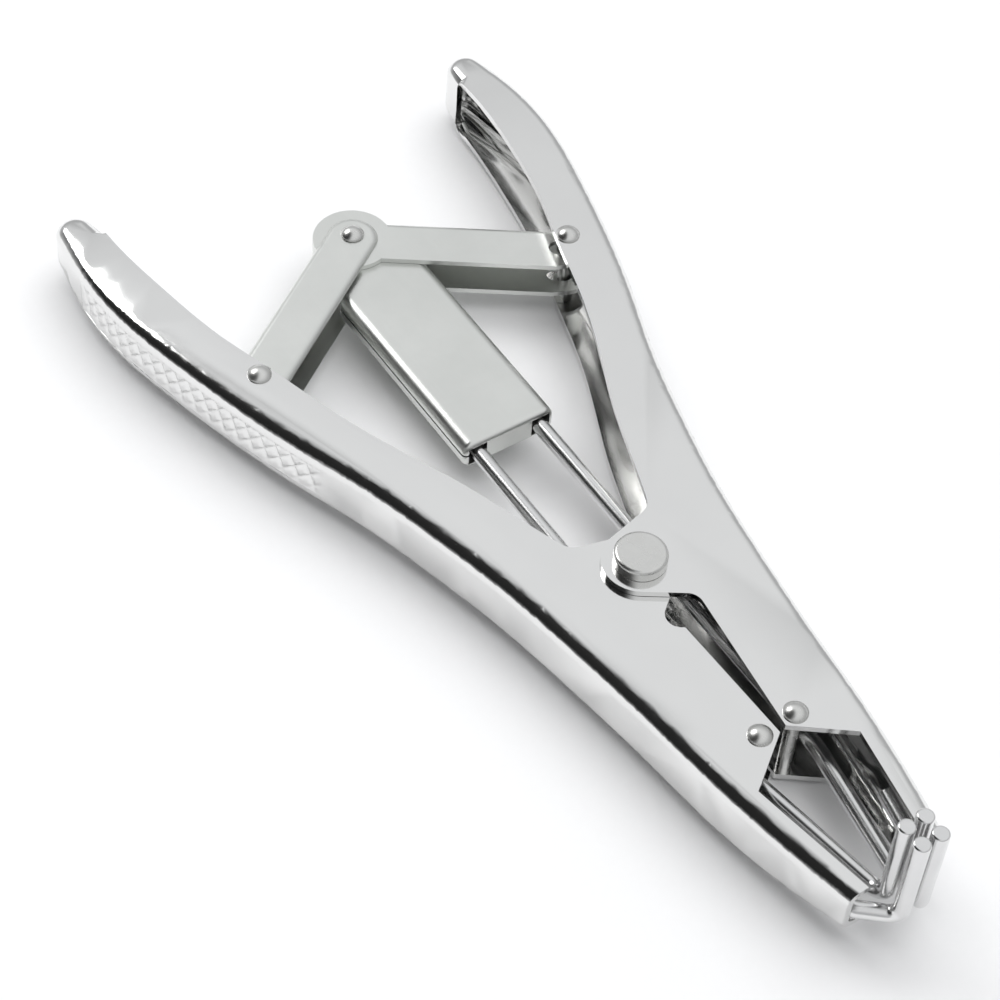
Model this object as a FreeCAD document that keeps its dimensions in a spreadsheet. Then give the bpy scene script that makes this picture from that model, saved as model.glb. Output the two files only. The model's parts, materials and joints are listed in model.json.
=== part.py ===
"""Rubber-ring applicator pliers: two pressed channel handles on one pivot, a pair of toggle links,
a folded slider with two long rods, and four upright prongs that open into a square.

Frame: +X runs from the pivot to the prongs, +Z is up, and the pliers lie flat. The origin is on the
axis of the pivot rivet, at the plane that the lower rivet heads rest on. "left" is the +Y side.
All sizes are in millimetres."""

import FreeCAD, Part
import math
import os
import Sketcher

Vector = FreeCAD.Vector
UP = Vector(0, 0, 1)
THROUGH = 400.0                  # longer than any cut that goes right through
HOLLOW = "_hollow"               # ends the label of a body that is only a cutting tool

doc = FreeCAD.newDocument("ring_pliers")

# ---------------------------------------------------------------- driving dimensions

SIZES = {
    # handles
    "tail_length": 147.2,        # pivot to the end of a handle
    "jaw_length": 84.0,          # pivot to the end of a jaw
    "tail_spread": 51.5,         # centre line to the middle of a handle's tail
    "tail_nose_radius": 4.4,     # round end of the closed tail
    "tail_lip_length": 4.0,      # straight lip that closes the tail
    "tail_taper": 38.0,          # length over which the tail gets thinner
    "tail_fall": 1.9,            # by which the top falls and the bottom rises at the tail's end
    "jaw_rise": 3.6,             # by which the bottom rises from the front rivets to the jaw's end
    "jaw_half_width": 12.0,      # centre line to the outside of a jaw's end
    "sheet": 1.4,                # handle sheet thickness
    "bend_radius": 3.0,          # outside radius of the bend between web and flange
    "nest_gap": 0.1,             # between the nested flanges at the pivot
    "lobe_radius": 8.0,          # round end of the flanges about the pivot
    "nose_gap": 0.7,             # centre line to the flange at the front rivets
    "inner_nose_gap": 0.4,       # the same on the handle that lies inside
    "jaw_strip": 4.6,            # width of the narrow flange along the jaw
    # rivets
    "pivot_head_radius": 5.6,
    "pivot_head_height": 2.8,
    "pivot_shank_radius": 3.0,
    "spacer_radius": 4.4,
    "rivet_head_radius": 2.6,
    "rivet_head_height": 1.6,
    "rivet_shank_radius": 1.4,
    "foot_height": 1.2,          # lower rivet heads under the outer handle
    "fit_clearance": 0.04,       # radial play of a hole on its rivet
    "side_clearance": 0.05,      # play between faces that slide
    "link_rivet_x": 83.3,        # behind the pivot
    "link_rivet_y": 39.5,
    "front_rivet_x": 46.1,
    "front_rivet_y": 4.2,
    "front_shank_radius": 1.0,
    "front_spacer_wall": 0.5,
    # links and slider
    "link_length": 47.7,
    "link_sheet": 1.2,
    "link_width": 11.6,
    "link_end_narrowing": 0.6,   # half width lost at the rounded end
    "link_disc_radius": 8.8,     # round end of the inner link about the apex
    "link_web_gap": 0.7,         # from that round end to the outer link's rear wall
    "slot_travel": 2.0,          # lost motion of the link's slotted end
    "slot_play": 0.6,
    "slider_sheet": 1.2,
    "slider_lug_radius": 6.3,
    "slider_lip": 1.3,
    "slider_front": 46.5,        # behind the pivot
    "slider_bend": 2.6,
    "seam_gap": 0.5,
    # rods and prongs
    "rod_radius": 1.8,
    "rod_headroom": 1.1,         # room over and under a rod in the slider, together
    "rod_gap": 0.2,              # between a rod and the tube on the front rivet
    "rod_swing": 0.7,            # room beside a rod in the slider's mouth
    "rod_hold": 5.0,             # from the slider's mouth to the rod's turning point
    "rod_knee": 4.0,             # from the front rivet to the rod's slight bend
    "prong_ahead": 0.3,          # from the end of the jaws to the rear pair of prongs
    "prong_gap": 0.8,            # between neighbouring prongs
    "prong_top": 35.0,
    "prong_rounding": 0.5,
    "elbow_radius": 4.2,
}

# what follows from the sizes above: heights that nest from the rods outwards, and pieces that fit others
DERIVED = {
    "slider_height": "=2 * rod_radius + 2 * slider_sheet + rod_headroom",
    "inner_link_height": "=slider_height + 2 * link_sheet + 2 * side_clearance",
    "outer_link_height": "=inner_link_height + 2 * link_sheet + 2 * side_clearance",
    "channel_height": "=outer_link_height + 2 * sheet + 6 * side_clearance",
    "link_end_radius": "=link_width / 2 - link_end_narrowing",
    "outer_height": "=channel_height + 2 * sheet + 2 * nest_gap",
    "inner_bottom": "=foot_height + sheet + nest_gap",
    "middle": "=foot_height + outer_height / 2",
    "link_angle": "=asin(link_rivet_y / link_length)",
    "apex_x": "=-link_rivet_x - link_length * cos(link_angle)",
    "bend_inside": "=bend_radius - sheet",
    "pivot_hole": "=pivot_shank_radius + fit_clearance",
    "rivet_hole": "=rivet_shank_radius + fit_clearance",
    "front_hole": "=front_shank_radius + fit_clearance",
    "tight_rivet_hole": "=rivet_shank_radius + fit_clearance / 2",
    "front_spacer_radius": "=front_shank_radius + fit_clearance / 2 + front_spacer_wall",
    "rod_offset": "=front_rivet_y + front_spacer_radius + rod_gap + rod_radius",
    "rod_turn_x": "=-slider_front - rod_hold",
    "slider_half_width": "=rod_offset + rod_radius + rod_swing + slider_sheet",
    "prong_offset": "=rod_radius + prong_gap / 2",
    "rear_prong_x": "=jaw_length + prong_ahead",
    "front_prong_x": "=rear_prong_x + 2 * rod_radius + prong_gap",
}

sheet_cells = doc.addObject("Spreadsheet::Sheet", "sizes")
for row, (alias, value) in enumerate([*SIZES.items(), *DERIVED.items()], start=1):
    sheet_cells.set(f"A{row}", alias)
    sheet_cells.setAlias(f"B{row}", alias)
    sheet_cells.set(f"B{row}", str(value))
doc.recompute()


def size(alias):
    """The value of a dimension, read back from the spreadsheet."""
    value = getattr(sheet_cells, alias)
    return float(getattr(value, "Value", value))


middle = size("middle")
apex_x = size("apex_x")


# ---------------------------------------------------------------- drawing helpers

def new_body(label):
    body = doc.addObject("PartDesign::Body", label)
    body.Label = label
    return body


def origin_plane(body, role):
    return next(item for item in body.Origin.OriginFeatures if item.Role == role)


def new_sketch(body, name, role="XY_Plane", height=0.0):
    sketch = body.newObject("Sketcher::SketchObject", name)
    sketch.AttachmentSupport = [(origin_plane(body, role), "")]
    sketch.MapMode = "FlatFace"
    sketch.AttachmentOffset = FreeCAD.Placement(Vector(0, 0, height), FreeCAD.Rotation())
    return sketch


def set_size(feature, field, value):
    """A length given as a number, or bound to the spreadsheet by an expression."""
    if isinstance(value, str):
        feature.setExpression(field, value)
    else:
        setattr(feature, field, value)


def pad(body, sketch, length, name, midplane=False):
    feature = body.newObject("PartDesign::Pad", name)
    feature.Profile = sketch
    feature.Midplane = midplane
    set_size(feature, "Length", length)
    doc.recompute()
    return feature


def pocket(body, sketch, length, name, midplane=False):
    """A cut along the sketch's normal that must remove material."""
    before = body.Shape.Volume
    feature = body.newObject("PartDesign::Pocket", name)
    feature.Profile = sketch
    feature.Midplane = midplane
    set_size(feature, "Length", length)
    doc.recompute()
    if feature.Shape.isNull() or feature.Shape.Volume > before - 0.01:
        raise RuntimeError(f"{body.Label}: {name} removed nothing")
    return feature


def fillet(body, base, edges, radius, name):
    feature = body.newObject("PartDesign::Fillet", name)
    feature.Base = (base, edges)
    set_size(feature, "Radius", radius)
    doc.recompute()
    return feature


def edges_where(shape, test):
    """Names of the edges whose sampled points all pass the test."""
    names = []
    for index, edge in enumerate(shape.Edges, start=1):
        points = edge.discretize(Number=5)
        if all(test(point) for point in points):
            names.append(f"Edge{index}")
    return names


def spline(points, start_heading=None):
    """A smooth curve through the points, leaving the first one along a given direction."""
    curve = Part.BSplineCurve()
    places = [Vector(x, y, 0) for x, y in points]
    if start_heading is None:
        curve.interpolate(places)
        return curve
    along = Vector(*start_heading, 0).normalize()
    free_end = [Vector(0, 0, 0)] * (len(places) - 1)
    curve.interpolate(Points=places, Tangents=[along] + free_end, TangentFlags=[True] + [False] * len(free_end))
    return curve


def parallel_curve(curve, distance, count=30):
    """A curve beside another one, distance to the right of its direction of travel."""
    first, last = curve.FirstParameter, curve.LastParameter
    points = []
    for step in range(count + 1):
        here = first + (last - first) * step / count
        along = curve.tangent(here)[0]
        place = curve.value(here)
        points.append((place.x + along.y * distance, place.y - along.x * distance))
    start = curve.tangent(first)[0]
    return spline(points, (start.x, start.y))


def line(start, end):
    return Part.LineSegment(Vector(*start, 0), Vector(*end, 0))


def closed_profile(points):
    return [line(points[index], points[(index + 1) % len(points)]) for index in range(len(points))]


def on_circle(centre, radius, angle):
    """The point of a circle at an angle in degrees."""
    turn = math.radians(angle)
    return centre[0] + radius * math.cos(turn), centre[1] + radius * math.sin(turn)


def between(start, end, share, rise):
    """A point part of the way from start to end, moved outwards in Y by rise."""
    return start[0] + (end[0] - start[0]) * share, start[1] + (end[1] - start[1]) * share + rise


def arc_about(centre, radius, start_angle, end_angle):
    """An arc of a circle between two angles in degrees, in either direction."""
    angles = (start_angle, (start_angle + end_angle) / 2, end_angle)
    return Part.Arc(*[Vector(*on_circle(centre, radius, angle), 0) for angle in angles])


def mirror_all(curves, side):
    """The same curves on the +Y side (side 1) or turned over to the -Y side (side -1)."""
    if side == 1:
        return curves
    flip = FreeCAD.Matrix()
    flip.A22 = -1
    flipped = []
    for curve in curves:
        copy = curve.copy()
        copy.transform(flip)
        flipped.append(copy)
    return flipped


def round_hole(body, x, y, radius_name, name):
    """A hole straight through in Z, with its radius bound to a named size."""
    sketch = new_sketch(body, name + "_sketch")
    sketch.addGeometry(Part.Circle(Vector(x, y, 0), UP, size(radius_name)))
    sketch.addConstraint(Sketcher.Constraint("Radius", 0, size(radius_name)))
    sketch.renameConstraint(0, "radius")
    sketch.setExpression("Constraints.radius", "sizes." + radius_name)
    doc.recompute()
    return pocket(body, sketch, THROUGH, name, midplane=True)


# ---------------------------------------------------------------- handles

def handle_web(inset=0.0):
    """The web in plan, inset from its outside: lip of the closed tail, round nose, and the long curve
    of the grip, shoulder and jaw. Each piece runs on from the one before."""
    nose = (size("tail_nose_radius") - size("tail_length"), size("tail_spread"))
    lip_angle, grip_angle = -95.6, 98.0
    radius = size("tail_nose_radius") - inset
    nose_arc = arc_about(nose, radius, lip_angle, grip_angle - 360)
    lip_end = on_circle(nose, radius, lip_angle)
    along_lip = math.radians(lip_angle + 90)
    lip_start = (lip_end[0] + size("tail_lip_length") * math.cos(along_lip),
                 lip_end[1] + size("tail_lip_length") * math.sin(along_lip))

    # the grip bulges outwards from the straight line between the tail and the link rivet
    tail = (-size("tail_length"), size("tail_spread"))
    rivet = (-size("link_rivet_x"), size("link_rivet_y"))
    grip = [between(tail, rivet, share, bulge)
            for share, bulge in ((0.19, 7.8), (0.38, 10.65), (0.575, 11.7), (0.82, 11.1))]
    grip += [(rivet[0] + 4.0, rivet[1] + 9.0), (rivet[0] + 20.0, rivet[1] + 3.8)]
    shoulder = [(-46.0, 36.8), (-28.0, 31.5), (-9.0, 26.8), (12.0, 23.2), (32.0, 20.4)]
    jaw_root = (48.0, 18.6)
    jaw_tip = (size("jaw_length"), size("jaw_half_width"))
    jaw = [jaw_root, between(jaw_root, jaw_tip, 1 / 3, 0.4), between(jaw_root, jaw_tip, 2 / 3, 0.4), jaw_tip]
    along_grip = math.radians(grip_angle - 90)
    long_curve = spline([on_circle(nose, size("tail_nose_radius"), grip_angle)] + grip + shoulder + jaw,
                        (math.cos(along_grip), math.sin(along_grip)))
    if inset > 0:
        long_curve = parallel_curve(long_curve, inset)
    return [line(lip_start, lip_end), nose_arc, long_curve]


def inner_tangent(first, first_radius, second, second_radius):
    """Heading in degrees of the line that leaves one arc and joins the next on its other side."""
    across = math.hypot(second[0] - first[0], second[1] - first[1])
    centre_line = math.degrees(math.atan2(second[1] - first[1], second[0] - first[0]))
    return centre_line, math.degrees(math.asin((first_radius + second_radius) / across))


def handle_outline(web, bay_radius, bay_y, bay_top, nose_gap):
    """Plan of a flange on the +Y side: web, jaw strip, front edge, bay, pivot lobe, throat, inner edge.
    The round bay in front of the pivot ends at the angle bay_top, where the front edge leaves it."""
    lobe = size("lobe_radius")
    bay = (lobe + 6.5, bay_y)
    throat_radius = 4.5                               # round throat behind the pivot
    throat = (-lobe - 6.4, 6.5)
    throat_start = 65.0
    nose = (size("front_rivet_x") + 1.4, nose_gap)
    step = (size("front_rivet_x") + 10.1, size("front_rivet_y") + 8.0)
    web_start = web[0].StartPoint
    web_end = web[-1].EndPoint
    jaw_inside = (web_end.x, web_end.y - size("jaw_strip"))

    centre_line, swing = inner_tangent((0, 0), lobe, bay, bay_radius)
    lobe_exit = centre_line + swing - 90
    lobe_out = on_circle((0, 0), lobe, lobe_exit)
    bay_in = on_circle(bay, bay_radius, lobe_exit + 180)
    bay_out = on_circle(bay, bay_radius, bay_top)

    centre_line, swing = inner_tangent(throat, throat_radius, (0, 0), lobe)
    throat_exit = centre_line - swing + 90
    throat_out = on_circle(throat, throat_radius, throat_exit)
    lobe_entry = throat_exit + 180
    lobe_in = on_circle((0, 0), lobe, lobe_entry)
    throat_in = on_circle(throat, throat_radius, throat_start)

    under_rivet = (-size("link_rivet_x"), size("link_rivet_y") - 2.9)
    lip_root = (web_start.x, web_start.y)
    inner_edge = spline([
        throat_in, (-24.0, 14.7), (-37.0, 19.4), (-52.0, 26.0), (-67.0, 31.7), under_rivet,
        between(lip_root, under_rivet, 0.76, 1.9), between(lip_root, under_rivet, 0.45, 2.3),
        between(lip_root, under_rivet, 0.17, 1.5), lip_root])
    return web + [
        line((web_end.x, web_end.y), jaw_inside),
        line(jaw_inside, step),
        line(step, nose),
        line(nose, bay_out),
        arc_about(bay, bay_radius, bay_top, lobe_exit + 180),
        line(bay_in, lobe_out),
        arc_about((0, 0), lobe, lobe_exit + 360, lobe_entry),
        line(lobe_in, throat_out),
        arc_about(throat, throat_radius, throat_exit, throat_start),
        inner_edge,
    ]


def channel_hollow(inside):
    """Plan of the hollow: inside of the web, open all along the inner side and at the jaw's end."""
    first = inside[0].StartPoint
    last = inside[-1].EndPoint
    beyond_jaw = (last.x + 10.0, last.y - 2.0)
    far_front = (last.x + 10.0, -30.0)
    far_rear = (first.x, -30.0)
    return inside + [
        line((last.x, last.y), beyond_jaw),
        line(beyond_jaw, far_front),
        line(far_front, far_rear),
        line(far_rear, (first.x, first.y)),
    ]


def on_curves(curves, side):
    """A test for points that lie on one of some plan curves, well away from the middle height."""
    shapes = [curve.toShape() for curve in curves]

    def test(point):
        if abs(point.z - middle) < 3.0:
            return False
        flat = Part.Vertex(point.x, point.y * side, 0)
        return min(shape.distToShape(flat)[0] for shape in shapes) < 1e-3
    return test


def side_outline(height, inset):
    """A handle from the side: level about the pivot, thinner along the tail at the top and the bottom,
    and with its bottom rising along the jaw."""
    half = height / 2
    level_from = size("tail_taper") - size("tail_length")
    level_to = size("front_rivet_x") + 3.0
    beyond = 6.0                                      # the plan cuts this off

    def slope(start, reach, fall, heading, up):
        """An arc that leaves the level line at start and has fallen by some height after its reach."""
        radius = (reach ** 2 + fall ** 2) / (2 * fall)
        swing = math.degrees(math.asin((reach + beyond) / radius))
        centre = (start, middle + up * (half - radius))
        end_angle = up * (90 - heading * swing)
        return (arc_about(centre, radius - inset, up * 90, end_angle),
                on_circle(centre, radius - inset, end_angle))

    jaw_reach = size("jaw_length") - level_to
    tail_top, tail_top_end = slope(level_from, size("tail_taper"), size("tail_fall"), -1, 1)
    tail_bottom, tail_bottom_end = slope(level_from, size("tail_taper"), size("tail_fall"), -1, -1)
    jaw_bottom, jaw_bottom_end = slope(level_to, jaw_reach, size("jaw_rise"), 1, -1)
    top, bottom = middle + half - inset, middle - half + inset
    jaw_top_end = (jaw_bottom_end[0], top)
    return [
        tail_top,
        line((level_from, top), jaw_top_end),
        line(jaw_top_end, jaw_bottom_end),
        jaw_bottom,
        line((level_to, bottom), (level_from, bottom)),
        tail_bottom,
        line(tail_bottom_end, tail_top_end),
    ]


def rectangle(left, right, bottom, top):
    return closed_profile([(left, bottom), (right, bottom), (right, top), (left, top)])


def add_outline(sketch, curves, side):
    for curve in mirror_all(curves, side):
        sketch.addGeometry(curve)
    doc.recompute()


def side_and_plan(label, side, section, plan, bent, radius_name):
    """A body with one outline from the side and another in plan, and rounded bends along some curves."""
    body = new_body(label)
    profile = new_sketch(body, label + "_side", role="XZ_Plane")
    for curve in section:
        profile.addGeometry(curve)
    doc.recompute()
    pad(body, profile, THROUGH, label + "_slab", midplane=True)
    around = new_sketch(body, label + "_plan", height=middle)
    add_outline(around, plan, side)
    add_outline(around, rectangle(-THROUGH, THROUGH, -THROUGH, THROUGH), side)
    trimmed = pocket(body, around, THROUGH, label + "_trim", midplane=True)
    edges = edges_where(trimmed.Shape, on_curves(bent, side))
    fillet(body, trimmed, edges, radius_name, label + "_bend")
    return body


def make_handle(label, side, height, front_edge):
    """A pressed channel: a solid with the channel's outside, less a solid with its inside."""
    web = handle_web()
    inside = handle_web(size("sheet"))
    body = side_and_plan(label, side, side_outline(height, 0.0), handle_outline(web, *front_edge), web,
                         "sizes.bend_radius")
    hollow = side_and_plan(label + HOLLOW, side, side_outline(height, size("sheet")), channel_hollow(inside),
                           inside, "sizes.bend_inside")
    before = body.Shape.Volume
    cut = body.newObject("PartDesign::Boolean", label + "_cut")
    cut.Type = "Cut"
    cut.addObject(hollow)
    doc.recompute()
    if cut.Shape.isNull() or cut.Shape.Volume > before / 2:
        raise RuntimeError(f"{label}: the hollow was not cut")
    round_hole(body, 0, 0, "pivot_hole", label + "_pivot_hole")
    round_hole(body, -size("link_rivet_x"), side * size("link_rivet_y"), "rivet_hole", label + "_link_hole")
    round_hole(body, size("front_rivet_x"), side * size("front_rivet_y"), "front_hole", label + "_front_hole")


# front edge of each handle's flanges: bay radius, height and end angle, and the gap at the nose
make_handle("handle_left", 1, size("outer_height"), (3.4, 1.4, 83.0, size("nose_gap")))
make_handle("handle_right", -1, size("channel_height"), (3.2, 0.2, 20.0, size("inner_nose_gap")))


# ---------------------------------------------------------------- rivets and spacers

def revolved(label, outline, x="0 mm", y="0 mm"):
    """A turned piece: a closed half outline about a vertical axis, whose place is two expressions."""
    body = new_body(label)
    sketch = new_sketch(body, label + "_profile", role="XZ_Plane")
    for item in outline:
        sketch.addGeometry(item)
    doc.recompute()
    turn = body.newObject("PartDesign::Revolution", label + "_turn")
    turn.Profile = sketch
    turn.ReferenceAxis = (sketch, ["V_Axis"])
    turn.Angle = 360.0
    doc.recompute()
    body.setExpression("Placement.Base.x", x)
    body.setExpression("Placement.Base.y", y)
    doc.recompute()


def dome_profile(head_radius, head_height, head_base, steps, foot_radius, foot_top, foot_base, edge=0.3):
    """Half outline of a rivet: a domed head, a shank of (radius, top) steps, and a flat foot."""
    crown = (0.0, head_base + head_height)
    rim = (head_radius, head_base + 0.25)
    chord = math.hypot(rim[0] - crown[0], rim[1] - crown[1])
    ball = chord ** 2 / (2 * (crown[1] - rim[1]))
    halfway = math.asin(rim[0] / ball) / 2
    shoulder = (ball * math.sin(halfway), crown[1] - ball * (1 - math.cos(halfway)))
    dome = Part.Arc(Vector(*crown, 0), Vector(*shoulder, 0), Vector(*rim, 0))
    points = [rim, (head_radius, head_base)]
    top = head_base
    for radius, bottom in steps:
        points += [(radius, top), (radius, bottom)]
        top = bottom
    points += [(foot_radius, foot_top), (foot_radius, foot_base + edge),
               (foot_radius - edge, foot_base), (0.0, foot_base), crown]
    return [dome] + [line(points[index], points[index + 1]) for index in range(len(points) - 1)]


def make_pivot_rivet():
    radius = size("pivot_head_radius")
    gap = size("side_clearance")
    head_base = size("foot_height") + size("outer_height") + gap
    head_top = head_base + size("pivot_head_height")
    foot_top = size("foot_height") - gap
    shank = size("pivot_shank_radius")
    rounding, chamfer = 0.9, 0.3
    corner = math.sqrt(0.5) * rounding
    arc = Part.Arc(Vector(radius - rounding, head_top, 0),
                   Vector(radius - rounding + corner, head_top - rounding + corner, 0),
                   Vector(radius, head_top - rounding, 0))
    points = [(radius, head_top - rounding), (radius, head_base), (shank, head_base), (shank, foot_top),
              (radius, foot_top), (radius, chamfer), (radius - chamfer, 0.0), (0.0, 0.0),
              (0.0, head_top), (radius - rounding, head_top)]
    lines = [line(points[index], points[index + 1]) for index in range(len(points) - 1)]
    revolved("pivot_rivet", [arc] + lines)


def ring_profile(bore, outside, bottom, top):
    return closed_profile([(bore, bottom), (outside, bottom), (outside, top), (bore, top)])


def make_handle_rivets(side_name, side, bottom, height, link_height):
    """The two small rivets that join one handle's flanges, and the tube that the rod slides past."""
    top = bottom + height
    sheet = size("sheet")
    shank = size("rivet_shank_radius")
    head = size("rivet_head_radius")
    shoulder = head - 0.2
    link_top = middle + link_height / 2 + size("side_clearance")
    link_bottom = middle - link_height / 2 - size("side_clearance")
    steps = [(shank, bottom)]
    if top - sheet - link_top > 1.0:
        steps = [(shank, top - sheet), (shoulder, link_top), (shank, link_bottom),
                 (shoulder, bottom + sheet), (shank, bottom)]
    revolved(f"link_rivet_{side_name}",
             dome_profile(head, size("rivet_head_height"), top, steps, head, bottom, 0.0),
             "-sizes.link_rivet_x * 1 mm", f"{side} * sizes.link_rivet_y * 1 mm")
    front = ("sizes.front_rivet_x * 1 mm", f"{side} * sizes.front_rivet_y * 1 mm")
    front_shank = size("front_shank_radius")
    revolved(f"front_rivet_{side_name}",
             dome_profile(head, size("rivet_head_height"), top, [(front_shank, bottom)], head, bottom, 0.0),
             *front)
    bore = front_shank + size("fit_clearance") / 2
    revolved(f"front_spacer_{side_name}",
             ring_profile(bore, size("front_spacer_radius"), bottom + sheet, top - sheet), *front)


make_pivot_rivet()
flange_play = size("sheet") + size("side_clearance")
revolved("pivot_spacer", ring_profile(
    size("pivot_shank_radius") + size("fit_clearance") / 2, size("spacer_radius"),
    size("inner_bottom") + flange_play, size("inner_bottom") + size("channel_height") - flange_play))
make_handle_rivets("left", 1, size("foot_height"), size("outer_height"), size("inner_link_height"))
make_handle_rivets("right", -1, size("inner_bottom"), size("channel_height"), size("outer_link_height"))

apex_half_height = size("outer_link_height") / 2 + size("side_clearance")
apex_foot_height = 1.2
revolved("apex_rivet", dome_profile(
    size("rivet_head_radius"), size("rivet_head_height"), middle + apex_half_height,
    [(size("rivet_shank_radius"), middle - apex_half_height)],
    size("rivet_head_radius"), middle - apex_half_height, middle - apex_half_height - apex_foot_height),
    "sizes.apex_x * 1 mm")


# ---------------------------------------------------------------- toggle links

def link_outline(disc_radius, length):
    """Plan of a link along +X: a disc about the apex, a parallel strip and a rounded end."""
    half = size("link_width") / 2
    end = size("link_end_radius")
    spread = math.degrees(math.asin(min(half / disc_radius, 1.0)))
    root = disc_radius * math.cos(math.radians(spread))
    taper_start = length - 4 * (half - end) - 0.1
    return [
        arc_about((0, 0), disc_radius, spread, 360 - spread),
        line((root, -half), (taper_start, -half)),
        line((taper_start, -half), (length, -end)),
        arc_about((length, 0), end, -90, 90),
        line((length, end), (taper_start, half)),
        line((taper_start, half), (root, half)),
    ]


def round_link_hollow(disc_radius, beyond, half):
    """Plan of the inner link's hollow: its wall goes round the rear of the disc and along the strip."""
    inside = disc_radius - size("link_sheet")
    wrap = 215.0
    rise = math.degrees(math.asin(half / inside))
    start = on_circle((0, 0), inside, wrap)
    root = on_circle((0, 0), inside, rise)
    return [
        arc_about((0, 0), inside, wrap, rise),
        line(root, (beyond, half)),
        line((beyond, half), (beyond, -20.0)),
        line((beyond, -20.0), (start[0] * 2, -20.0)),
        line((start[0] * 2, -20.0), (start[0] * 2, start[1] * 2)),
        line((start[0] * 2, start[1] * 2), start),
    ]


def straight_link_hollow(wall_from, beyond, half):
    """Plan of the outer link's hollow: its rear wall starts clear of the inner link's disc."""
    return closed_profile([(wall_from, half), (beyond, half), (beyond, -20.0), (-20.0, -20.0),
                           (-20.0, 20.0), (wall_from, 20.0)])


def make_link(label, side, height_name, disc_radius, hollow_plan):
    body = new_body(label)
    length = size("link_length")
    plan = new_sketch(body, label + "_plan", height=middle)
    add_outline(plan, link_outline(disc_radius, length), side)
    blank = pad(body, plan, "sizes." + height_name, label + "_blank", midplane=True)

    half_width = size("link_width") / 2
    half_height = size(height_name) / 2

    def rear_corner(point):
        return abs(point.y * side - half_width) < 1e-4 and abs(abs(point.z - middle) - half_height) < 1e-4

    fillet(body, blank, edges_where(blank.Shape, rear_corner), "sizes.link_sheet + 0.6", label + "_bend")
    hollow_sketch = new_sketch(body, label + "_hollow_plan", height=middle)
    add_outline(hollow_sketch, hollow_plan, side)
    pocket(body, hollow_sketch, f"sizes.{height_name} - 2 * sizes.link_sheet", label + "_hollow", midplane=True)

    round_hole(body, 0, 0, "rivet_hole", label + "_apex_hole")
    slot_radius = size("rivet_shank_radius") + size("slot_play")
    inner = length - size("slot_travel")
    slot = new_sketch(body, label + "_slot_plan")
    add_outline(slot, [
        arc_about((length, 0), slot_radius, -90, 90),
        line((length, slot_radius), (inner, slot_radius)),
        arc_about((inner, 0), slot_radius, 90, 270),
        line((inner, -slot_radius), (length, -slot_radius)),
    ], side)
    pocket(body, slot, THROUGH, label + "_slot", midplane=True)
    body.setExpression("Placement.Base.x", "sizes.apex_x * 1 mm")
    body.setExpression("Placement.Rotation.Angle", "sizes.link_angle")
    body.setExpression("Placement.Rotation.Axis.z", str(side))
    doc.recompute()


link_beyond = size("link_length") + size("link_end_radius") + 5.0
link_inside = size("link_width") / 2 - size("link_sheet")
make_link("link_left", 1, "inner_link_height", size("link_disc_radius"),
          round_link_hollow(size("link_disc_radius"), link_beyond, link_inside))
make_link("link_right", -1, "outer_link_height", size("link_width") / 2,
          straight_link_hollow(size("link_disc_radius") + size("link_web_gap"), link_beyond, link_inside))


# ---------------------------------------------------------------- slider

def make_slider():
    """A folded flat tube: rounded sides, a seam along one side, a lug at the rear, two mouths in front."""
    body = new_body("slider")
    half_width = size("slider_half_width")
    sheet = size("slider_sheet")
    front = -size("slider_front")
    shoulder_x, neck_x = apex_x + 14.0, apex_x + 9.0
    neck_half = half_width - 2.8
    lug = on_circle((apex_x, 0), size("slider_lug_radius"), 60.0)
    plan = new_sketch(body, "slider_plan", height=middle)
    add_outline(plan, [
        line((front, -half_width), (front, half_width)),
        line((front, half_width), (shoulder_x, half_width)),
        line((shoulder_x, half_width), (neck_x, neck_half)),
        line((neck_x, neck_half), lug),
        arc_about((apex_x, 0), size("slider_lug_radius"), 60.0, 300.0),
        line((lug[0], -lug[1]), (neck_x, -neck_half)),
        line((neck_x, -neck_half), (shoulder_x, -half_width)),
        line((shoulder_x, -half_width), (front, -half_width)),
    ], 1)
    blank = pad(body, plan, "sizes.slider_height", "slider_blank", midplane=True)
    half_height = size("slider_height") / 2

    def long_corner(point):
        return abs(abs(point.y) - half_width) < 1e-4 and abs(abs(point.z - middle) - half_height) < 1e-4

    folded = fillet(body, blank, edges_where(blank.Shape, long_corner), "sizes.slider_bend", "slider_bend")

    def front_lip(point):
        return abs(point.x - front) < 1e-4 and abs(point.z - middle - half_height) < 1e-4

    fillet(body, folded, edges_where(folded.Shape, front_lip), "sizes.slider_lip", "slider_front_lip")

    tube_length = 90.0
    bore = new_sketch(body, "slider_bore_section", role="YZ_Plane", height=front - sheet)
    bore_half = half_width - sheet
    floor, roof = middle - half_height + sheet, middle + half_height - sheet
    add_outline(bore, rectangle(-bore_half, bore_half, floor, roof), 1)
    pocket(body, bore, tube_length, "slider_bore")

    mouth = new_sketch(body, "slider_mouth_section", role="YZ_Plane", height=front + 1.0)
    mouth_inside = size("rod_offset") - size("rod_radius") - 0.2
    for side in (1, -1):
        add_outline(mouth, rectangle(side * mouth_inside, side * bore_half, floor, roof), 1)
    pocket(body, mouth, sheet + 2.0, "slider_mouths")

    seam = new_sketch(body, "slider_seam_section", role="YZ_Plane", height=front + 1.0)
    seam_bottom = middle + 0.5 - size("seam_gap") / 2
    seam_top = seam_bottom + size("seam_gap")
    add_outline(seam, rectangle(-half_width - 1.0, 0.3 - bore_half, seam_bottom, seam_top), 1)
    pocket(body, seam, tube_length, "slider_seam")
    round_hole(body, apex_x, 0, "tight_rivet_hole", "slider_apex_hole")


make_slider()


# ---------------------------------------------------------------- rods and prongs

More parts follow.
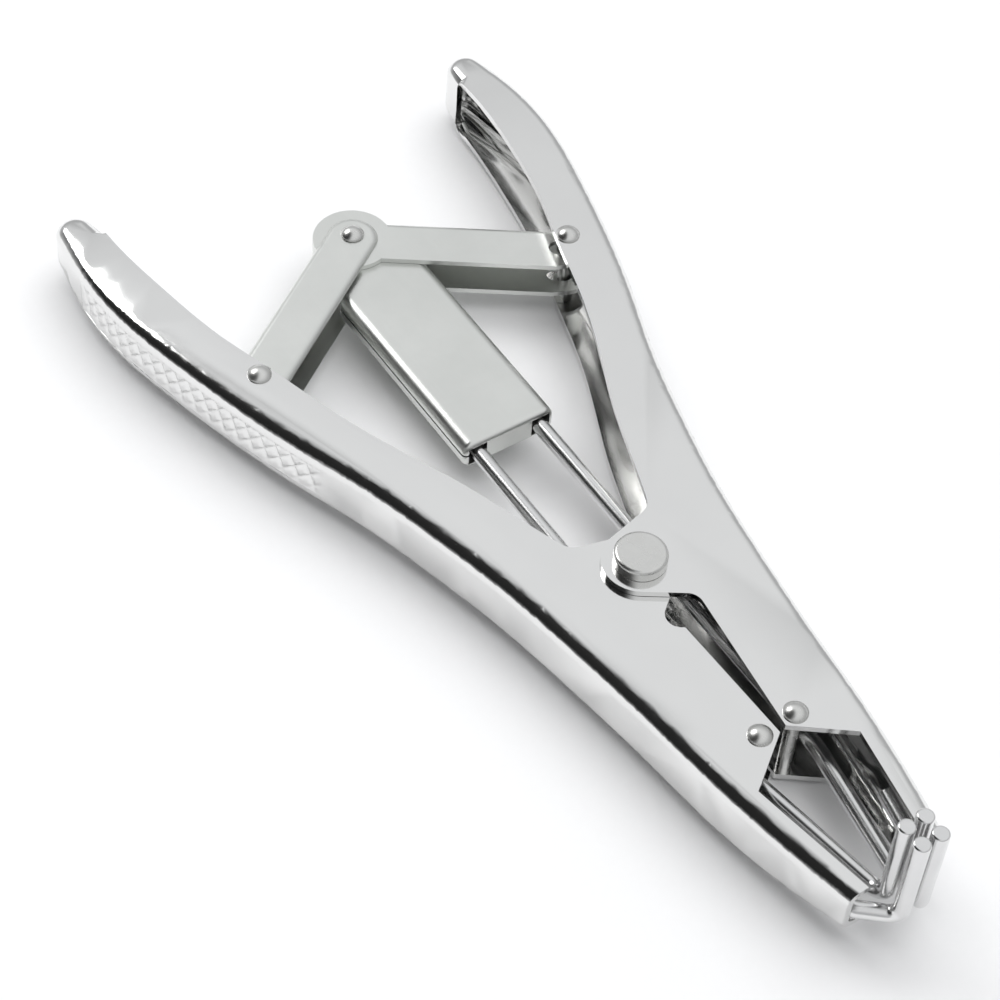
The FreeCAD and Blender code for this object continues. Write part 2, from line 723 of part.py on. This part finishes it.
def bent_bar(points, radius, bends):
    """A round bar along straight runs joined by tangent arcs, as one swept solid."""
    corners = [Vector(*point) for point in points]
    edges = []
    start = corners[0]
    for index in range(1, len(corners) - 1):
        before = (corners[index - 1] - corners[index]).normalize()
        after = (corners[index + 1] - corners[index]).normalize()
        half_turn = before.getAngle(after) / 2
        back = bends[index - 1] / math.tan(half_turn)
        arc_start = corners[index] + before * back
        arc_end = corners[index] + after * back
        inward = (before + after).normalize()
        centre = corners[index] + inward * (bends[index - 1] / math.sin(half_turn))
        arc_middle = centre - inward * bends[index - 1]
        edges.append(Part.LineSegment(start, arc_start).toShape())
        edges.append(Part.Arc(arc_start, arc_middle, arc_end).toShape())
        start = arc_end
    edges.append(Part.LineSegment(start, corners[-1]).toShape())
    path = Part.Wire(edges)
    direction = (corners[1] - corners[0]).normalize()
    section = Part.Wire([Part.makeCircle(radius, corners[0], direction)])
    return path.makePipeShell([section], True, False)


def rounded_tip(shape, point, radius):
    """The same bar with the edge of its free end rounded."""
    rim = [edge for edge in shape.Edges if isinstance(edge.Curve, Part.Circle)
           and edge.Curve.Center.distanceToPoint(point) < 1e-3]
    return shape.makeFillet(radius, rim)


def add_feature(label, shape, x="0 mm", y="0 mm"):
    feature = doc.addObject("Part::Feature", label)
    feature.Label = label
    feature.Shape = shape
    feature.setExpression("Placement.Base.x", x)
    feature.setExpression("Placement.Base.y", y)


def make_rod(side_name, side):
    """A slider rod in its own frame, whose origin is its turning point inside the slider's mouth."""
    radius = size("rod_radius")
    knee = size("front_rivet_x") + size("rod_knee") - size("rod_turn_x")
    reach = size("rear_prong_x") - size("rod_turn_x")
    inward = size("rod_offset") - size("prong_offset")
    points = [(0, 0, middle), (knee, 0, middle), (reach, -side * inward, middle),
              (reach, -side * inward, size("prong_top"))]
    bar = bent_bar(points, radius, (30.0, size("elbow_radius")))
    bar = rounded_tip(bar, Vector(*points[-1]), size("prong_rounding"))
    ball_end = Part.makeSphere(radius, Vector(*points[0]), Vector(1, 0, 0), -90, 0, 360)
    bar = bar.fuse(ball_end).removeSplitter()
    add_feature(f"rod_{side_name}", bar, "sizes.rod_turn_x * 1 mm", f"{side} * sizes.rod_offset * 1 mm")


def make_jaw_prong(side_name, side):
    """A prong fixed inside the end of a jaw: a shank along the web, a turn inward and a turn up."""
    radius = size("rod_radius")
    weld = 0.03                                       # sunk into the web, as a weld
    along_web = handle_web(size("sheet") + radius - weld)[-1]
    reach = size("front_prong_x")
    rear_x, bend_x = size("jaw_length") - 18.0, size("jaw_length") - 1.0

    def beside_web(x):
        crossing = along_web.intersect(Part.Line(Vector(x, 0, 0), Vector(x, 1, 0)))
        return max(point.Y for point in crossing)

    offset = side * size("prong_offset")
    points = [(rear_x, side * beside_web(rear_x), middle), (bend_x, side * beside_web(bend_x), middle),
              (reach, offset, middle), (reach, offset, size("prong_top"))]
    bar = bent_bar(points, radius, (radius + 1.0, size("elbow_radius") - 1.4))
    bar = rounded_tip(bar, Vector(*points[-1]), size("prong_rounding"))
    add_feature(f"jaw_prong_{side_name}", bar)


for side_name, side in (("left", 1), ("right", -1)):
    make_rod(side_name, side)
    make_jaw_prong(side_name, side)


# ---------------------------------------------------------------- check everything and write it out

doc.recompute()
for item in doc.Objects:
    if "Invalid" in item.State or "Error" in item.State:
        raise RuntimeError(f"{item.Name} failed: {item.State}")

nodes = [item for item in doc.Objects
         if item.TypeId in ("PartDesign::Body", "Part::Feature") and not item.Label.endswith(HOLLOW)]
os.makedirs("parts", exist_ok=True)
for node in nodes:
    shape = node.Shape
    if shape.isNull() or not shape.isValid():
        raise RuntimeError(f"{node.Label} has no valid shape")
    if len(shape.Solids) != 1:
        raise RuntimeError(f"{node.Label} has {len(shape.Solids)} solids")
    shape.exportStep(f"parts/{node.Label}.step")
    box = shape.BoundBox
    print(f"{node.Label:20s} volume {shape.Volume:9.1f}  x {box.XMin:7.1f} {box.XMax:7.1f}  "
          f"y {box.YMin:6.1f} {box.YMax:6.1f}  z {box.ZMin:5.2f} {box.ZMax:5.2f}")
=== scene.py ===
# %% [markdown]
# # Ring applicator pliers
# A pair of plated steel pliers that stretch a small rubber ring over four prongs. The CAD frame already
# holds every rivet, link and rod at its true place. This lesson gives each piece its pressed-metal
# edges, its knurled grip and its plating, then sets up a light table and a camera.

import json
import math

import bpy
from mathutils import Matrix, Vector

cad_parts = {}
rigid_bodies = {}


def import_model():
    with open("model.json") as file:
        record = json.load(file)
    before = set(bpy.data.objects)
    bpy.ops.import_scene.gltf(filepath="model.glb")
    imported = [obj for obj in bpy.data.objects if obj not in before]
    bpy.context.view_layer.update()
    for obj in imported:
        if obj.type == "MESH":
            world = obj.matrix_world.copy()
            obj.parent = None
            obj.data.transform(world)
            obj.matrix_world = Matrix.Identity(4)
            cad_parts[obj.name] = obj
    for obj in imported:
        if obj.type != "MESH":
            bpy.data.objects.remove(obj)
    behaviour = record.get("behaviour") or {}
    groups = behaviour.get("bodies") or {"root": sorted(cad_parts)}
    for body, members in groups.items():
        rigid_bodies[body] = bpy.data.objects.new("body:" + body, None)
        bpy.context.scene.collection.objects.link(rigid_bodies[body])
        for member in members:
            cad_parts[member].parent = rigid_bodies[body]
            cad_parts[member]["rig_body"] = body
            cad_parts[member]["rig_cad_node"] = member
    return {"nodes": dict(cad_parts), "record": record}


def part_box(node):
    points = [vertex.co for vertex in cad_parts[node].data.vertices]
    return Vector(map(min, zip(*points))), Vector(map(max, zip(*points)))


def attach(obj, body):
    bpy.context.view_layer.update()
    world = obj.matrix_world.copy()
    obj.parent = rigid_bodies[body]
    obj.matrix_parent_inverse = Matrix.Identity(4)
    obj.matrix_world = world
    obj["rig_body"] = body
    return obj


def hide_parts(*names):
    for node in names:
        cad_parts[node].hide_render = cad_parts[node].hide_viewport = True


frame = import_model()
nodes = frame["nodes"]
bodies = frame["record"]["behaviour"]["bodies"]
body_of_node = {node: body for body, members in bodies.items() for node in members}
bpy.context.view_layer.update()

# %% [markdown]
# ## Camera
# A tool on a table is usually taken with a longish lens from well above. A camera can be placed by
# hand, or worked out from three angles and a distance. The angles are easier to adjust, so the camera
# turns about the pivot: azimuth, elevation, a small roll, and an offset that slides the picture.

# %% Camera
AZIMUTH, ELEVATION, ROLL = (math.radians(angle) for angle in (52.59, 50.44, 5.0))
DISTANCE = 0.57016
SLIDE_RIGHT, SLIDE_UP = 0.02728, -0.02209
AIM_HEIGHT = 0.00365
LENS_MM, SENSOR_MM = 100.0, 36.0

level = math.cos(ELEVATION)
back = Vector((math.sin(AZIMUTH) * level, -math.cos(AZIMUTH) * level, math.sin(ELEVATION)))
level_right = Vector((0, 0, 1)).cross(back).normalized()
level_up = back.cross(level_right)
right = math.cos(ROLL) * level_right + math.sin(ROLL) * level_up
up = math.cos(ROLL) * level_up - math.sin(ROLL) * level_right
place = DISTANCE * back - SLIDE_RIGHT * right - SLIDE_UP * up + Vector((0, 0, AIM_HEIGHT))

camera = bpy.data.objects.new("camera", bpy.data.cameras.new("camera"))
bpy.context.scene.collection.objects.link(camera)
camera.data.lens, camera.data.sensor_width = LENS_MM, SENSOR_MM
camera.data.clip_start, camera.data.clip_end = 0.05, 20.0
camera.matrix_world = Matrix.Translation(place) @ Matrix((right, up, back)).transposed().to_4x4()
bpy.context.scene.camera = camera
print("camera at mm", [round(1000 * value) for value in place])

# %% [markdown]
# ## Shader arithmetic
# A node tree for plated steel is a page of small sums. Wiring them one by one is slow to read, so one
# class wraps a socket and lets Python's own operators add the Math nodes, and one method adds any
# other kind of node.

# %% A socket that can be added and multiplied
class Signal:
    """An output socket that grows Math nodes when it is used in a sum."""

    def __init__(self, recipe, socket):
        self.recipe, self.socket = recipe, socket

    def _math(self, operation, first, second=0.0):
        return self.recipe.node("ShaderNodeMath", {"operation": operation}, {0: first, 1: second})

    def __add__(self, other): return self._math("ADD", self, other)
    def __radd__(self, other): return self._math("ADD", other, self)
    def __mul__(self, other): return self._math("MULTIPLY", self, other)
    def __rmul__(self, other): return self._math("MULTIPLY", other, self)


class Recipe:
    """A material being written down, from its coordinates to its Principled shader."""

    def __init__(self, name, metallic=1.0):
        self.material = bpy.data.materials.new(name)
        self.material.use_nodes = True
        self.tree = self.material.node_tree
        self.shader = next(item for item in self.tree.nodes if item.type == "BSDF_PRINCIPLED")
        self.shader.inputs["Metallic"].default_value = metallic
        self.place = self.node("ShaderNodeTexCoord", output="Object")

    def node(self, kind, settings=None, inputs=None, output=0):
        """Adds a node, fills its fields and sockets, and returns one of its outputs."""
        item = self.tree.nodes.new(kind)
        for field, value in (settings or {}).items():
            setattr(item, field, value)
        for key, value in (inputs or {}).items():
            if isinstance(value, Signal):
                self.tree.links.new(value.socket, item.inputs[key])
            else:
                item.inputs[key].default_value = value
        return Signal(self, item.outputs[output])

    def noise(self, scale, detail=3.0, stretch=(1, 1, 1), turn=0.0, roughness=0.5):
        """A noise over the piece's own coordinates, stretched into streaks where asked."""
        where = self.node("ShaderNodeMapping", {},
                          {"Vector": self.place, "Scale": stretch, "Rotation": (0, 0, turn)})
        return self.node("ShaderNodeTexNoise", {},
                         {"Vector": where, "Scale": scale, "Detail": detail, "Roughness": roughness})

    def between(self, amount, low, high):
        """A colour part of the way from low to high. The colour sockets of a Mix node are 6 and 7."""
        return self.node("ShaderNodeMix", {"data_type": "RGBA"},
                         {0: amount, 6: (*low, 1), 7: (*high, 1)}, output=2)

    def set(self, field, value):
        """Feeds a signal or a plain value into the Principled shader."""
        if isinstance(value, Signal):
            self.tree.links.new(value.socket, self.shader.inputs[field])
        else:
            self.shader.inputs[field].default_value = value

    def bump(self, layers):
        """Stacks bumps, each a (height signal, depth in metres, strength)."""
        normal = None
        for height, depth, strength in layers:
            inputs = {"Height": height, "Distance": depth, "Strength": strength}
            if normal:
                inputs["Normal"] = normal
            normal = self.node("ShaderNodeBump", {}, inputs)
        self.set("Normal", normal)

# %% [markdown]
# ## Finishes
# Three finishes cover the tool. The handles are pressed, polished and chromed: nearly a mirror, with a
# slow waviness left by the press and a faint haze of polishing marks. The links, the slider and the
# rivets are zinc plated: greyer, with a soft satin sheen that runs along the strip. The rods are bright
# drawn wire, so their fine lines run lengthwise. Real metal shows its finish in how sharp a reflection
# is, so roughness and bump carry most of the detail, and the colour only drifts a little.

# %% Chromed pressed steel
def chrome_plate():
    recipe = Recipe("chrome_plate")
    cloud = recipe.noise(55, 2)
    haze = recipe.noise(420, 4, roughness=0.6)
    marks = recipe.noise(900, 2, stretch=(0.06, 1, 1), turn=0.25)
    pits = recipe.noise(1500, 1)
    recipe.set("Base Color",
               recipe.between(cloud * 0.6 + haze * 0.3, (0.79, 0.79, 0.785), (0.86, 0.86, 0.85)))
    recipe.set("Roughness", 0.07 + 0.07 * haze + 0.05 * marks * cloud)
    recipe.bump([(cloud, 0.0006, 0.10), (marks, 0.00003, 0.10), (pits, 0.00003, 0.08)])
    return recipe.material


chrome = chrome_plate()
print("made", chrome.name, "with", len(chrome.node_tree.nodes), "nodes")

# %% Zinc plate, drawn wire and peened rivets
def zinc_plate(name, turn):
    recipe = Recipe(name)
    drift = recipe.noise(70, 3)
    grain = recipe.noise(1100, 3, stretch=(0.05, 1, 1), turn=turn)
    bloom = recipe.noise(260, 5, roughness=0.65)
    recipe.set("Base Color",
               recipe.between(drift * 0.7 + bloom * 0.3, (0.70, 0.715, 0.69), (0.86, 0.87, 0.845)))
    recipe.set("Roughness", 0.22 + 0.14 * bloom + 0.08 * grain)
    recipe.bump([(drift, 0.0004, 0.10), (grain, 0.00004, 0.30), (bloom, 0.00005, 0.15)])
    return recipe.material


def drawn_wire():
    recipe = Recipe("drawn_wire")
    drift = recipe.noise(90, 2)
    lines = recipe.noise(1600, 2, stretch=(0.03, 1, 1))
    recipe.set("Base Color", recipe.between(drift, (0.70, 0.70, 0.705), (0.84, 0.84, 0.835)))
    recipe.set("Roughness", 0.12 + 0.10 * lines + 0.08 * drift)
    recipe.bump([(drift, 0.0003, 0.10), (lines, 0.00003, 0.25)])
    return recipe.material


def peened_rivet():
    recipe = Recipe("peened_rivet")
    drift = recipe.noise(180, 3)
    dents = recipe.node("ShaderNodeTexVoronoi", {"feature": "SMOOTH_F1"},
                        {"Vector": recipe.place, "Scale": 900})
    recipe.set("Base Color", recipe.between(drift, (0.66, 0.66, 0.645), (0.80, 0.80, 0.78)))
    recipe.set("Roughness", 0.20 + 0.16 * drift)
    recipe.bump([(dents, 0.00008, 0.35), (drift, 0.0002, 0.15)])
    return recipe.material


LINK_RISE_MM, LINK_LENGTH_MM = 39.5, 47.7
link_turn = math.asin(LINK_RISE_MM / LINK_LENGTH_MM)
zinc = {turn: zinc_plate("zinc_plate" + name, turn)
        for name, turn in (("", 0.0), ("_left", -link_turn), ("_right", link_turn))}
wire, rivet = drawn_wire(), peened_rivet()

# %% [markdown]
# ## Pressed edges
# A sheared sheet edge is never knife sharp: the punch rounds one side and tumbling softens the other,
# and that thin line catches the light. The CAD solids have perfect edges. Each visible node is copied,
# its loose triangles are merged, its flat faces are joined into single faces, and every edge sharper
# than a bend gets a small two-step bevel. Weighted normals keep the big flats flat. The handles' long
# bends are too fine for that, because a mirror shows every facet, so the handles take the shading
# normals of the CAD node that they stand for.

# %% Helpers for selecting and finishing
MERGE_WITHIN = 2e-6
FLAT_WITHIN, SHARP_FROM, SMOOTH_TO = (math.radians(angle) for angle in (0.3, 38, 40))
FLAT_WEIGHT = 90


def only(piece):
    """Deselects everything, then selects one piece and makes it active."""
    bpy.ops.object.select_all(action="DESELECT")
    piece.select_set(True)
    bpy.context.view_layer.objects.active = piece


def apply_modifier(piece, kind, **settings):
    """Adds one modifier to a piece and applies it at once."""
    modifier = piece.modifiers.new(kind.lower(), kind)
    for field, value in settings.items():
        setattr(modifier, field, value)
    only(piece)
    bpy.ops.object.modifier_apply(modifier=modifier.name)


def finished_copy(node, name, width, material, keep_normals):
    """A merged copy of a CAD node with softened edges, which stands for that node. Where keep_normals is
    set, its shading normals come from the node itself."""
    piece = nodes[node].copy()
    piece.data = nodes[node].data.copy()
    piece.name = piece.data.name = name
    piece.parent = None
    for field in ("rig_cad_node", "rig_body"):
        del piece[field]
    bpy.context.scene.collection.objects.link(piece)
    only(piece)
    if piece.data.has_custom_normals:
        bpy.ops.mesh.customdata_custom_splitnormals_clear()
    bpy.ops.object.mode_set(mode="EDIT")
    bpy.ops.mesh.select_all(action="SELECT")
    bpy.ops.mesh.remove_doubles(threshold=MERGE_WITHIN)
    bpy.ops.mesh.dissolve_limited(angle_limit=FLAT_WITHIN, delimit={"NORMAL"})
    bpy.ops.object.mode_set(mode="OBJECT")
    apply_modifier(piece, "BEVEL", width=width, segments=2, limit_method="ANGLE",
                   angle_limit=SHARP_FROM, use_clamp_overlap=True)
    bpy.ops.object.shade_smooth_by_angle(angle=SMOOTH_TO)
    if keep_normals:
        apply_modifier(piece, "DATA_TRANSFER", object=nodes[node], use_loop_data=True,
                       data_types_loops={"CUSTOM_NORMAL"}, loop_mapping="POLYINTERP_NEAREST")
    else:
        apply_modifier(piece, "WEIGHTED_NORMAL", weight=FLAT_WEIGHT, keep_sharp=True)
    piece.data.materials.clear()
    piece.data.materials.append(material)
    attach(piece, body_of_node[node])
    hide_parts(node)
    return piece

# %% Handles, links, slider and rivets
HANDLE_EDGE, STRIP_EDGE, PIVOT_EDGE, RIVET_EDGE = 0.00028, 0.0002, 0.00015, 0.00012
pressed = {}
for node, width, material in (
        ("handle_left", HANDLE_EDGE, chrome), ("handle_right", HANDLE_EDGE, chrome),
        ("link_left", STRIP_EDGE, zinc[-link_turn]), ("link_right", STRIP_EDGE, zinc[link_turn]),
        ("slider", STRIP_EDGE, zinc[0.0]), ("pivot_rivet", PIVOT_EDGE, rivet),
        ("apex_rivet", RIVET_EDGE, rivet),
        ("link_rivet_left", RIVET_EDGE, rivet), ("link_rivet_right", RIVET_EDGE, rivet),
        ("front_rivet_left", RIVET_EDGE, rivet), ("front_rivet_right", RIVET_EDGE, rivet)):
    pressed[node] = finished_copy(node, node + "_finished", width, material, node.startswith("handle"))
    print(f"{node}: {len(pressed[node].data.polygons)} faces")

# %% Rods, prongs and tubes
for node, material in (
        ("rod_left", wire), ("rod_right", wire), ("jaw_prong_left", wire), ("jaw_prong_right", wire),
        ("pivot_spacer", rivet), ("front_spacer_left", rivet), ("front_spacer_right", rivet)):
    nodes[node].data.materials.clear()
    nodes[node].data.materials.append(material)

# %% [markdown]
# ## Knurled grips
# The outside of each grip carries a coined diamond knurl, so that a wet hand doesn't slip. A bump map
# would look right from the front but leave the mesh bare, so the diamonds are real. A die presses its
# grooves into the web and leaves the tops of the diamonds level with it. First a shallow pocket is cut
# into the web, then a fine grid is set into the pocket, level with the web on the diamonds and pushed
# in along the grooves. A ray cast onto the handle finds the web along the grip.

# %% Where the knurl goes
KNURL_FROM, KNURL_TO = -0.1295, -0.056
KNURL_STEPS, KNURL_ROWS = 300, 40
KNURL_LEAN, KNURL_LIFT = (-0.0010, 0.0027), (0.0029, 0.00295)     # the two lattice steps, along and up
KNURL_SINK, KNURL_SKIN = 0.00001, 0.00012          # under the web, and the thickness of the coined skin
GROOVE_DEPTH, GROOVE_SHARE = 0.00050, 0.27         # how deep, and half the share of a step that it takes
END_FADE, LOWER_FADE, UPPER_FADE = 25, 2.6, 12     # one over the share in which the grooves fade out
POCKET_DEPTH, POCKET_OUT = 0.00068, 0.0004         # how far the cutter goes into and out of the web
SPINE_STEPS_PER_CUT = 5
BEND_ROOM = 0.0034                                 # the knurl stays clear of the bends
OUTSIDE = 0.1                                      # beyond either grip, where the rays start
SHARP_CREST = math.radians(24)


def diamond(along, height):
    """0 in the bottom of a groove and 1 on the flat top of a diamond."""
    spread = KNURL_LEAN[0] * KNURL_LIFT[1] - KNURL_LEAN[1] * KNURL_LIFT[0]
    first = (along * KNURL_LIFT[1] - height * KNURL_LIFT[0]) / spread
    second = (KNURL_LEAN[0] * height - KNURL_LEAN[1] * along) / spread
    from_groove = 0.5 - max(abs(first % 1 - 0.5), abs(second % 1 - 0.5))
    return min(1.0, from_groove / GROOVE_SHARE)


def web_spine(handle, side, steps):
    """Places along the outside of a grip's web at mid height, each with its outward direction."""
    middle = (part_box(handle)[0].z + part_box(handle)[1].z) / 2
    bpy.context.view_layer.update()
    places = []
    for step in range(-1, steps + 2):
        x = KNURL_FROM + (KNURL_TO - KNURL_FROM) * step / steps
        start = Vector((x, side * OUTSIDE, middle))
        places.append(pressed[handle].ray_cast(start, Vector((0, -side, 0)))[1])
    smooth = []
    for step in range(1, steps + 2):
        before, after = places[step - 1], places[step + 1]
        out = Vector((before.y - after.y, after.x - before.x, 0)).normalized() * side
        smooth.append((places[step].copy(), out))
    return smooth


def web_patch(handle, side, spine, rows, lift, name):
    """A grid along the web whose height over the web is lift(share along, share up, along, up)."""
    low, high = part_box(handle)
    z_from, z_to = low.z + BEND_ROOM, high.z - BEND_ROOM
    steps = len(spine) - 1
    bpy.ops.object.select_all(action="DESELECT")
    bpy.ops.mesh.primitive_grid_add(x_subdivisions=steps, y_subdivisions=rows, size=2)
    piece = bpy.context.active_object
    piece.name = piece.data.name = name
    for vertex in piece.data.vertices:
        share, rise = (vertex.co.x + 1) / 2, (vertex.co.y + 1) / 2
        place, out = spine[min(int(share * steps + 0.5), steps)]
        along, up = (KNURL_TO - KNURL_FROM) * share, (z_to - z_from) * rise
        vertex.co = Vector((place.x, place.y, z_from + up)) + out * lift(share, rise, along, up)
    if piece.data.polygons[0].normal.y * side < 0:
        only(piece)
        bpy.ops.object.mode_set(mode="EDIT")
        bpy.ops.mesh.select_all(action="SELECT")
        bpy.ops.mesh.flip_normals()
        bpy.ops.object.mode_set(mode="OBJECT")
    return piece


def coined(share, rise, along, up):
    """Minus the depth of the grooves, which fade out at the ends and slowly towards the lower edge."""
    fade = min(1.0, share * END_FADE, (1 - share) * END_FADE, rise * LOWER_FADE, (1 - rise) * UPPER_FADE)
    return -KNURL_SINK - GROOVE_DEPTH * fade * (1 - diamond(along, up))


def knurled_grip(handle, side):
    """Cuts the pocket into a finished handle and sets the coined skin into it."""
    spine = web_spine(handle, side, KNURL_STEPS)
    cutter = web_patch(handle, side, spine[::SPINE_STEPS_PER_CUT], 2,
                       lambda *where: POCKET_OUT, "pocket_cutter")
    apply_modifier(cutter, "SOLIDIFY", thickness=POCKET_OUT + POCKET_DEPTH, offset=-1.0)
    faces = len(pressed[handle].data.polygons)
    apply_modifier(pressed[handle], "BOOLEAN", operation="DIFFERENCE", object=cutter, solver="EXACT")
    bpy.data.objects.remove(cutter)
    grip = web_patch(handle, side, spine, KNURL_ROWS, coined, handle.replace("handle", "grip_knurl"))
    apply_modifier(grip, "SOLIDIFY", thickness=KNURL_SKIN, offset=-1.0)
    bpy.ops.object.shade_smooth_by_angle(angle=SHARP_CREST)
    grip.data.materials.append(chrome)
    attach(grip, body_of_node[handle])
    print(f"{handle}: pocket cut, {faces} faces became {len(pressed[handle].data.polygons)}")
    return grip

# %% Press the knurl
for handle, side in (("handle_left", 1), ("handle_right", -1)):
    grip = knurled_grip(handle, side)
    reach = max(abs(vertex.co.y) for vertex in grip.data.vertices)
    print(grip.name, "reaches", round(1000 * reach, 3), "mm out")

# %% [markdown]
# ## Light table
# Polished metal shows the room more than itself. A pale floor lights the undersides, and a pale room
# gives the flanges their even grey. One dark patch of the room, to the left of the camera, draws the
# dark line that follows every bend on the near side and darkens the walls of the knurl's grooves that
# face upwards. A round lamp on the left adds to the light, and a wide one overhead brightens the floor
# but stays out of the reflections.

# %% Floor
FLOOR_SIZE = 6.0
bpy.ops.object.select_all(action="DESELECT")
bpy.ops.mesh.primitive_plane_add(size=FLOOR_SIZE, location=(0, 0, 0))
floor = bpy.context.active_object
floor.name = "floor"
paper = Recipe("white_paper", metallic=0.0)
fibre = paper.noise(600, 4)
paper.set("Base Color", paper.between(fibre, (0.90, 0.90, 0.905), (0.92, 0.92, 0.925)))
paper.set("Roughness", 0.9)
paper.shader.inputs["Specular IOR Level"].default_value = 0.2
floor.data.materials.append(paper.material)

# %% Room and lamps
ROOM = ((0.0, 0.58), (0.12, 0.50), (0.35, 0.46), (0.60, 0.72), (0.80, 0.84), (1.0, 0.84))  # height, grey
ROOM_TINT = (0.99, 1.0, 1.012)
DARK_TOWARDS = Vector((-0.30, -0.66, 0.69)).normalized()
DARK_CORE, DARK_EDGE = 0.90, 0.62                  # cosines of the angles where it is full and ends
DARK_GREY = 0.02

world = bpy.data.worlds.new("room")
bpy.context.scene.world = world
world.use_nodes = True
tree = world.node_tree


def world_node(kind, settings, inputs):
    """Adds a node to the room's tree, wires or fills its sockets, and returns it."""
    item = tree.nodes.new(kind)
    for field, value in settings.items():
        setattr(item, field, value)
    for key, value in inputs.items():
        if isinstance(value, bpy.types.NodeSocket):
            tree.links.new(value, item.inputs[key])
        else:
            item.inputs[key].default_value = value
    return item


direction = world_node("ShaderNodeTexCoord", {}, {}).outputs["Generated"]
height = world_node("ShaderNodeSeparateXYZ", {}, {0: direction}).outputs["Z"]
band = world_node("ShaderNodeValToRGB", {}, {0: height})
for position, grey in ROOM:
    stop = band.color_ramp.elements[0] if position == 0.0 else (
        band.color_ramp.elements[-1] if position == 1.0 else band.color_ramp.elements.new(position))
    stop.position, stop.color = position, (*(grey * tint for tint in ROOM_TINT), 1)
nearness = world_node("ShaderNodeVectorMath", {"operation": "DOT_PRODUCT"},
                      {0: direction, 1: DARK_TOWARDS})
patch = world_node("ShaderNodeMapRange", {"interpolation_type": "SMOOTHSTEP"},
                   {"Value": nearness.outputs["Value"], "From Min": DARK_EDGE, "From Max": DARK_CORE})
room = world_node("ShaderNodeMix", {"data_type": "RGBA"},
                  {0: patch.outputs[0], 6: band.outputs[0], 7: (DARK_GREY, DARK_GREY, DARK_GREY, 1)})
tree.links.new(room.outputs[2], tree.nodes["Background"].inputs["Color"])
tree.nodes["Background"].inputs["Strength"].default_value = 1.0


def soft_box(name, towards, distance, size, watts):
    """A round lamp that looks back at the pliers from a direction and a distance."""
    lamp = bpy.data.objects.new(name, bpy.data.lights.new(name, "AREA"))
    bpy.context.scene.collection.objects.link(lamp)
    lamp.data.shape, lamp.data.size, lamp.data.energy = "DISK", size, watts
    heading = Vector(towards).normalized()
    lamp.location = heading * distance
    lamp.rotation_euler = heading.to_track_quat("Z", "Y").to_euler()
    return lamp


soft_box("window", (-0.85, -0.25, 0.75), distance=1.6, size=0.9, watts=7)
fill = soft_box("fill", (-0.1, 0.2, 0.9), distance=1.8, size=2.6, watts=23)
fill.visible_glossy = False
bpy.context.scene.view_settings.view_transform = "Standard"
